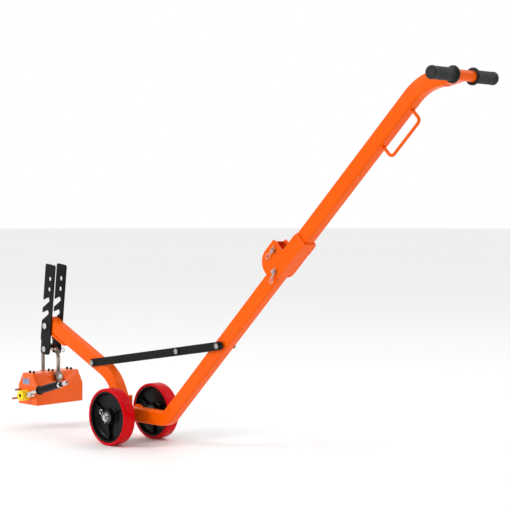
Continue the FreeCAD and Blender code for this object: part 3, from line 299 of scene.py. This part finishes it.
def wheel(name, side):
    """Tyre, dished core with three ribs and shielded bearings; side is -1 near, 1 far."""
    low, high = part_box(f"{name}_tread")
    centre = (low + high) / 2
    body = BODY_OF[f"{name}_tread"]
    radius = (high.z - low.z) / 2
    half = (high.y - low.y) / 2
    turn = along_y(centre, side)

    rim, corner = 90 * MM, 6 * MM
    lip = 1.2 * MM
    tyre = [(rim, -half + 2 * lip), (rim + 1.5 * MM, -half + lip), (rim + 4 * MM, -half)]
    tyre += round_corner((radius - corner, -half + corner), corner, -90, 0, 8)
    tyre += round_corner((radius - corner, half - corner), corner, 0, 90, 8)
    tyre += [(rim + 4 * MM, half), (rim + 1.5 * MM, half - lip), (rim, half - 2 * lip)]
    mesh = finish_mesh(f"{name}_tyre", closed_lathe(tyre, 128), turn)
    place_piece(f"{name}_tyre", mesh, body, "red_polyurethane", f"{name}_tread")

    hub, hub_half, web = 27 * MM, 24 * MM, 3.2 * MM
    rim_in, rim_half, dish = 83 * MM, 23 * MM, 14 * MM
    bore = 15.5 * MM
    seat, seat_depth = 21 * MM, 12 * MM
    outside = [(bore, 0.0), (bore, hub_half - seat_depth), (seat, hub_half - seat_depth),
               (seat, hub_half - 0.6 * MM), (seat + 0.6 * MM, hub_half),
               (hub - 1.5 * MM, hub_half), (hub, hub_half - 1.5 * MM)]
    outside += round_corner((hub + 7 * MM, web + 7 * MM), 7 * MM, 180, 270, 6)
    outside += round_corner((rim_in - dish, web + dish), dish, -90, 0, 10)
    outside += [(rim_in, rim_half - 1.5 * MM), (rim_in + 1.5 * MM, rim_half), (rim - 1 * MM, rim_half),
                (rim - 0.05 * MM, rim_half - 1 * MM)]
    inside = [(reach, -along) for reach, along in reversed(outside)]
    core = closed_lathe(outside + inside[:-1], 96)
    for third in range(3):
        add_rib(core, third, hub, rim_in, hub_half, web, dish)
    mesh = finish_mesh(f"{name}_dished_core", core, turn @ Matrix.Rotation(math.pi / 2 * side, 4, "Z"))
    place_piece(f"{name}_dished_core", mesh, body, "black_plastic", f"{name}_core")

    balls, ball_ring, ball_radius = 9, 15.5 * MM, 1.9 * MM
    shape = bmesh.new()
    for end in (-1, 1):
        face = end * hub_half
        race = [(10.05, 0.0), (13.2, 0.0), (13.6, -0.5), (14.0, -1.6), (17.0, -1.6), (17.4, -0.5),
                (17.8, 0.0), (20.6, 0.0), (20.95, -0.4), (20.95, -11.6), (10.05, -11.6)]
        points = [(reach * MM, face + end * depth * MM) for reach, depth in race]
        ring = closed_lathe(points, 64)
        for ball in range(balls):
            angle = 2 * math.pi * ball / balls
            spot = Vector((ball_ring * math.cos(angle), ball_ring * math.sin(angle),
                           face - end * ball_radius))
            bmesh.ops.create_uvsphere(ring, u_segments=12, v_segments=8, radius=ball_radius,
                                      matrix=Matrix.Translation(spot))
        held = bpy.data.meshes.new("held")
        ring.to_mesh(held)
        ring.free()
        shape.from_mesh(held)
        bpy.data.meshes.remove(held)
    mesh = finish_mesh(f"{name}_races", shape, turn)
    races = place_piece(f"{name}_races", mesh, body, "zinc_steel", f"{name}_bearings")
    repaint(races, "black_oxide", lambda face: 10.5 * MM < off_axis(face, centre) < 19.5 * MM
            and face.area > 2 * MM * MM)


def off_axis(face, centre):
    return math.hypot(face.center.x - centre.x, face.center.z - centre.z)


def star_washers():
    """Toothed lock washers under the axle clips."""
    low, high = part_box("axle_washers")
    centre = (low + high) / 2
    teeth, tip, root, bore, thick = 12, 15.9 * MM, 12.6 * MM, 10.1 * MM, 1.6 * MM
    shape = bmesh.new()
    for end in (-1, 1):
        outer_face = centre.y + end * (high.y - low.y) / 2
        levels = (outer_face, outer_face - end * thick)
        rows = []
        for level in levels:
            inner, outer = [], []
            for step in range(teeth * 4):
                angle = 2 * math.pi * step / (teeth * 4)
                reach = tip if step % 4 < 2 else root
                out = Vector((math.cos(angle), 0.0, math.sin(angle)))
                middle = Vector((centre.x, level, centre.z))
                inner.append(shape.verts.new(middle + out * bore))
                outer.append(shape.verts.new(middle + out * reach))
            rows.append((inner, outer))
        for step in range(teeth * 4):
            after = (step + 1) % (teeth * 4)
            for inner, outer in rows:
                shape.faces.new((inner[step], inner[after], outer[after], outer[step]))
            for front, back in zip(rows[0], rows[1]):
                shape.faces.new((front[step], front[after], back[after], back[step]))
    mesh = finish_mesh("star_washers", shape, Matrix.Identity(4))
    place_piece("star_washers", mesh, BODY_OF["axle_washers"], "bright_steel", "axle_washers")


def add_rib(shape, third, hub, rim_in, hub_half, web, dish):
    """A thin rib from hub to rim on both sides of the web."""
    angle = 2 * math.pi * third / 3
    out = Vector((math.cos(angle), math.sin(angle), 0.0))
    across = Vector((-out.y, out.x, 0.0))
    thin = 1.7 * MM
    stations = [(hub - 2 * MM, hub_half - 5 * MM), (hub + 8 * MM, hub_half - 8 * MM),
                (55 * MM, 12.5 * MM), (rim_in - dish, 13.5 * MM), (rim_in + 1 * MM, 18 * MM)]
    for side in (-1, 1):
        rows = []
        for reach, height in stations:
            row = []
            for offset, level in ((-thin, 0.0), (-thin, height - 1 * MM), (-0.6 * thin, height),
                                  (0.6 * thin, height), (thin, height - 1 * MM), (thin, 0.0)):
                row.append(shape.verts.new(out * reach + across * offset + Vector((0, 0, side * level))))
            rows.append(row)
        for first, second in zip(rows, rows[1:]):
            for index in range(5):
                shape.faces.new((first[index], first[index + 1], second[index + 1], second[index]))
            shape.faces.new((first[5], first[0], second[0], second[5]))
        shape.faces.new(rows[0])
        shape.faces.new(list(reversed(rows[-1])))


# ---------------------------------------------------------------- handle

def grip(name, side):
    """Fluted rubber grip with a flange at its inner end and a domed, ringed cap."""
    low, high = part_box(f"grip_{name}")
    centre = (low + high) / 2
    inner = Vector((centre.x, low.y if side > 0 else high.y, centre.z))
    flange = (high.z - low.z) / 2
    length = high.y - low.y
    radius, bore, core = 19 * MM, 16.05 * MM, 102 * MM
    flange_width = 6 * MM
    profile = [(bore, core), (bore, 0.0)]
    profile += [(flange - 2 * MM, 0.0)]
    profile += round_corner((flange - 2 * MM, 2 * MM), 2 * MM, -90, 0, 4)
    profile += round_corner((flange - 2 * MM, flange_width - 2 * MM), 2 * MM, 0, 90, 4)
    profile += round_corner((radius + 2 * MM, flange_width + 2 * MM), 2 * MM, -90, -180, 4)
    start = len(profile)
    flutes, rings = 24, 30
    body_end = length - 12 * MM
    for step in range(rings + 1):
        profile.append((radius, flange_width + 4 * MM + (body_end - flange_width - 4 * MM) * step / rings))
    stop = len(profile)
    profile += [(radius + 0.6 * MM, length - 10 * MM), (radius + 0.6 * MM, length - 4 * MM)]
    profile += round_corner((radius - 3.4 * MM, length - 4 * MM), 4 * MM, 0, 80, 6)
    for ring_radius in (13.0, 9.5, 6.0):
        for offset, dip in ((0.8, 0.1), (0.4, 0.7), (-0.4, 0.7), (-0.8, 0.1)):
            profile.append(((ring_radius + offset) * MM, length - dip * MM))
    profile.append((0.3 * MM, length - 0.1 * MM))

    def ripple(angle, index):
        if not start < index < stop - 1:
            return 0.0
        waist = 0.3 * MM if (index - start) % 2 else 0.0
        return -1.2 * MM * (0.5 + 0.5 * math.cos(flutes * angle)) - waist
    shape = capped_lathe(profile, flutes * 8, ripple)
    mesh = finish_mesh(f"fluted_grip_{name}", shape, along_y(inner, side))
    place_piece(f"fluted_grip_{name}", mesh, BODY_OF[f"grip_{name}"], "black_rubber", f"grip_{name}")


def wire_clip(node, pin, angle, y, pin_radius, reach=28.0, tail=13.0, flip=1):
    """Spring wire clip: a straight leg through the pin, a round loop, and an arm that hugs the pin."""
    along = Vector((math.cos(angle), 0, math.sin(angle)))
    out = Vector((-math.sin(angle), 0, math.cos(angle))) * flip
    hug = pin_radius + 1.8
    leg = [(-tail, 0), (-tail / 2, 0), (0, 0), (reach * 0.35, 0), (reach * 0.62, -0.6),
           (reach * 0.85, -3.6), (reach + 3, -5.6)]
    loop = [(reach + 9, -4.4), (reach + 12, 1.5), (reach + 9, 7.0), (reach + 2, 8.0)]
    arm = [(reach * 0.80, 5.6), (reach * 0.58, 3.4), (reach * 0.40, hug * 0.62),
           (pin_radius * 0.8, hug * 0.95), (0, hug + 0.8), (-pin_radius * 0.9, hug * 0.9),
           (-tail * 0.75, hug * 0.78), (-tail - 1, hug + 2.5)]
    route = leg + loop + arm
    centre = Vector((pin[0], y, pin[2]))
    wire_radius = 1.35 * MM
    points = []
    for step, (u, v) in enumerate(route):
        side_step = -1.2 if step > 9 else 0.0
        points.append(centre + along * u * MM + out * v * MM + Vector((0, side_step * MM, 0)))
    return wire_mesh(f"{node}_wire", points, wire_radius)


def clips():
    """The five spring clips: hinge, lock pin, two on the axle, hanger."""
    hinge = JOINT["handle_fold"]["pos_m"]
    low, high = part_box("hinge_pin_clip")
    mesh = wire_clip("hinge_pin_clip", hinge, TUBE_SLOPE + math.radians(178), (low.y + high.y) / 2, 6.0,
                     flip=-1)
    place_piece("hinge_pin_clip_wire", mesh, BODY_OF["hinge_pin_clip"], "bright_steel", "hinge_pin_clip")

    low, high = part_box("lock_pin")
    lock = (low + high) / 2
    clip_low, clip_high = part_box("lock_pin_clip")
    mesh = wire_clip("lock_pin_clip", lock, TUBE_SLOPE + math.radians(207),
                     (clip_low.y + clip_high.y) / 2, 6.0)
    place_piece("lock_pin_clip_wire", mesh, BODY_OF["lock_pin_clip"], "bright_steel", "lock_pin_clip")

    axle = JOINT["arm_fold"]["pos_m"]
    low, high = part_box("axle_clips")
    spread_y = (high.y - low.y) / 2 - 1.5 * MM
    both = bmesh.new()
    for side in (-1, 1):
        mesh = wire_clip("axle_clips", axle, math.radians(135), side * spread_y, 8.0, reach=23.0, tail=15.0)
        both.from_mesh(mesh)
        bpy.data.meshes.remove(mesh)
    mesh = bpy.data.meshes.new("axle_clip_wires")
    both.to_mesh(mesh)
    both.free()
    place_piece("axle_clip_wires", mesh, BODY_OF["axle_clips"], "bright_steel", "axle_clips")

    hanger = JOINT["shackle_swing"]["pos_m"]
    low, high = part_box("hanger_clip")
    mesh = wire_clip("hanger_clip", hanger, math.radians(-20), (low.y + high.y) / 2, 7.0, reach=20.0, flip=1)
    place_piece("hanger_clip_wire", mesh, BODY_OF["hanger_clip"], "bright_steel", "hanger_clip")


def lock_pin():
    """The lock pin in place at its full length, with a chamfered tip and a round head."""
    low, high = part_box("lock_pin")
    centre = Vector(((low.x + high.x) / 2, low.y, (low.z + high.z) / 2))
    length = high.y - low.y
    head = 4.1 * MM
    profile = [(4.6 * MM, 0.0), (6 * MM, 1.4 * MM), (6 * MM, length - head), (8.2 * MM, length - head),
               (9 * MM, length - head + 0.8 * MM), (9 * MM, length - 1 * MM), (8 * MM, length)]
    mesh = finish_mesh("lock_pin_whole", capped_lathe(profile, 48), along_y(centre))
    place_piece("lock_pin_whole", mesh, BODY_OF["lock_pin"], "bright_steel", "lock_pin")


# ---------------------------------------------------------------- magnet

def lever_knob():
    """Collar, black neck and bright end of the switching lever."""
    low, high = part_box("lever_knob")
    middle = (low + high) / 2
    pivot = Vector(JOINT["lever_turn"]["pos_m"])
    pivot.y = middle.y
    way = (middle - pivot).normalized()
    end_radius, collar, neck = 8.4 * MM, 11.4 * MM, 7.2 * MM
    tip = (high - pivot).dot(way) - (high.y - middle.y) * way.y - 2 * end_radius * way.x * way.z
    start, collar_end, neck_end = tip - 49 * MM, tip - 37 * MM, tip - 19 * MM
    profile = [(6 * MM, start), (collar, start), (collar, collar_end - 1 * MM), (collar - 1 * MM, collar_end),
               (neck, collar_end), (neck, neck_end), (end_radius - 0.8 * MM, neck_end)]
    profile += round_corner((end_radius - 2 * MM, tip - 2 * MM), 2 * MM, 0, 90, 5)
    turn = Matrix.Translation(pivot) @ way.to_track_quat("Z", "Y").to_matrix().to_4x4()
    mesh = finish_mesh("lever_knob_turned", capped_lathe(profile, 40), turn)
    knob = place_piece("lever_knob_turned", mesh, BODY_OF["lever_knob"], "chrome", "lever_knob")
    repaint(knob, "black_oxide", lambda face: collar_end < (face.center - pivot).dot(way) < neck_end)


def top_screws():
    """Six socket screws that stand out of the magnet's crown."""
    low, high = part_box("top_screws")
    shape = bmesh.new()
    for x in (low.x + 5 * MM, high.x - 5 * MM):
        for y in (low.y + 5 * MM, (low.y + high.y) / 2, high.y - 5 * MM):
            profile = [(4.6, 0.0), (4.6, 6.6), (4.0, 7.4), (2.6, 7.4), (2.4, 3.0)]
            points = [(reach * MM, along * MM) for reach, along in profile]
            screw = capped_lathe(points, 24)
            bmesh.ops.translate(screw, verts=screw.verts, vec=Vector((x, y, low.z)))
            held = bpy.data.meshes.new("held")
            screw.to_mesh(held)
            screw.free()
            shape.from_mesh(held)
            bpy.data.meshes.remove(held)
    mesh = finish_mesh("socket_screws", shape, Matrix.Identity(4))
    place_piece("socket_screws", mesh, BODY_OF["top_screws"], "black_oxide", "top_screws")


# ---------------------------------------------------------------- everything

EDGE_WIDTHS = {
    "magnet_housing": 1.8, "end_cover_near": 1.4, "end_cover_far": 1.4, "pole_shoes": 0.8,
    "hinge_bracket": 1.0, "hinge_lug": 0.8, "arm_nose": 1.6, "arm_yoke": 1.0, "arm_bumper": 2.0,
    "hook_plate_near": 0.9, "hook_plate_far": 0.9,
    "brace_long_near": 0.7, "brace_long_far": 0.7, "brace_short_near": 0.7, "brace_short_far": 0.7,
    "lever_hub": 1.6, "lever_rod": 0.5, "lever_grip": 2.2,
    "arm_pivot_bolt": 1.2, "hanger_pin": 1.0, "hinge_pin": 1.0, "shackle": 0.8, "shackle_bolts": 0.8,
    "brace_anchor_bolt": 1.0, "brace_arm_bolts": 1.0, "brace_mid_bolts": 1.0, "brace_spacer": 0.6,
    "axle": 0.9, "axle_hub": 0.6, "axle_spacers": 0.5, "arm_bush": 0.5,
    "rest_pin": 0.8, "limit_pins": 0.8, "label_plate": 0.25, "label_screws": 0.4, "bumper_screw": 0.6,
    "t_bar": 0.4, "lower_tube": 0.5, "upper_tube": 0.5, "arm_tube": 0.5, "carry_handle": 0.3, "rotor": 0.5,
}


def camera():
    """A long lens a little above handle height, looking down slightly from the near handle side."""
    lens = bpy.data.cameras.new("camera")
    lens.lens = CAMERA_LENS
    lens.sensor_width = CAMERA_SENSOR
    lens.clip_end = 100.0
    viewer = bpy.data.objects.new("camera", lens)
    viewer.location = CAMERA_SPOT
    viewer.rotation_euler = (math.radians(90 - CAMERA_DIP), 0.0, math.radians(CAMERA_TURN))
    bpy.context.scene.collection.objects.link(viewer)
    bpy.context.scene.camera = viewer


def area_light(name, spot, target, size, power):
    data = bpy.data.lights.new(name, "AREA")
    data.shape = "RECTANGLE"
    data.size = size[0]
    data.size_y = size[1]
    data.energy = power
    light = bpy.data.objects.new(name, data)
    light.location = spot
    light.rotation_euler = (Vector(target) - Vector(spot)).to_track_quat("-Z", "Y").to_euler()
    bpy.context.scene.collection.objects.link(light)


def studio():
    """Pale floor and soft white light from all round."""
    shape = bmesh.new()
    bmesh.ops.create_circle(shape, cap_ends=True, segments=96, radius=FLOOR_RADIUS)
    mesh = bpy.data.meshes.new("floor")
    shape.to_mesh(mesh)
    shape.free()
    floor = bpy.data.objects.new("floor", mesh)
    bpy.context.scene.collection.objects.link(floor)
    material, tree, shader = new_material("pale_floor")
    tint = spread(tree, noise(tree, 0.6), 0.0, 1.0)
    pale = blend_colours(tree, tint, (0.955, 0.955, 0.955), (0.97, 0.97, 0.97))
    tree.links.new(pale, shader.inputs["Base Color"])
    shader.inputs["Roughness"].default_value = 0.75
    mesh.materials.append(material)

    bpy.context.scene.world = tent_world((-0.35, 0.65, 0.75), 0.45, 1.0)
    bpy.context.scene.view_settings.view_transform = "Standard"
    area_light("key", (-2.2, -4.4, 3.0), LIT_MIDDLE, (1.8, 1.8), 118)
    area_light("rim", (1.4, 2.6, 4.4), LIT_MIDDLE, (0.8, 2.4), 30)


def tent_world(bright_side, dim, bright):
    """Soft white light from all round, stronger from one side."""
    world = bpy.data.worlds.new("studio")
    world.use_nodes = True
    tree = world.node_tree
    place = tree.nodes.new("ShaderNodeTexCoord")
    facing = tree.nodes.new("ShaderNodeVectorMath")
    facing.operation = "DOT_PRODUCT"
    facing.inputs[1].default_value = bright_side
    tree.links.new(place.outputs["Generated"], facing.inputs[0])
    level = tree.nodes.new("ShaderNodeMapRange")
    level.inputs["From Min"].default_value = -0.35
    level.inputs["From Max"].default_value = 0.55
    level.inputs["To Min"].default_value = dim
    level.inputs["To Max"].default_value = bright
    tree.links.new(facing.outputs["Value"], level.inputs["Value"])
    tree.nodes["Background"].inputs["Color"].default_value = (1.0, 1.0, 1.0, 1.0)
    tree.links.new(level.outputs["Result"], tree.nodes["Background"].inputs["Strength"])
    return world


FINISH = make_materials()
camera()
studio()
for wheel_name, wheel_side in (("wheel_near", -1), ("wheel_far", 1)):
    wheel(wheel_name, wheel_side)
for grip_name, grip_side in (("near", -1), ("far", 1)):
    grip(grip_name, grip_side)
star_washers()
lever_knob()
clips()
lock_pin()
top_screws()
finished = {node_name: softened(node_name, edge_width * MM) for node_name, edge_width in EDGE_WIDTHS.items()}
pins_low, pins_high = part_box("limit_pins")
pins_middle = (pins_low.z + pins_high.z) / 2
for magnet_part in ("magnet_housing", "end_cover_near", "end_cover_far"):
    finished[magnet_part].data.materials[0] = FINISH["cast_paint"]
finished["shackle"].data.materials[0] = FINISH["dark_nickel"]
hub_centre = Vector(JOINT["lever_turn"]["pos_m"])
# The wall and floor of the lever hub's bore get the black finish: painted shade that darkens the hole.
repaint(finished["lever_hub"], "black_oxide",
        lambda face: abs(face.normal.y) < 0.5 and off_axis(face, hub_centre) < 7 * MM)
repaint(finished["limit_pins"], "zinc_steel", lambda face: face.center.z > pins_middle)
repaint(finished["pole_shoes"], "cast_paint", lambda face: face.normal.z > -0.9)
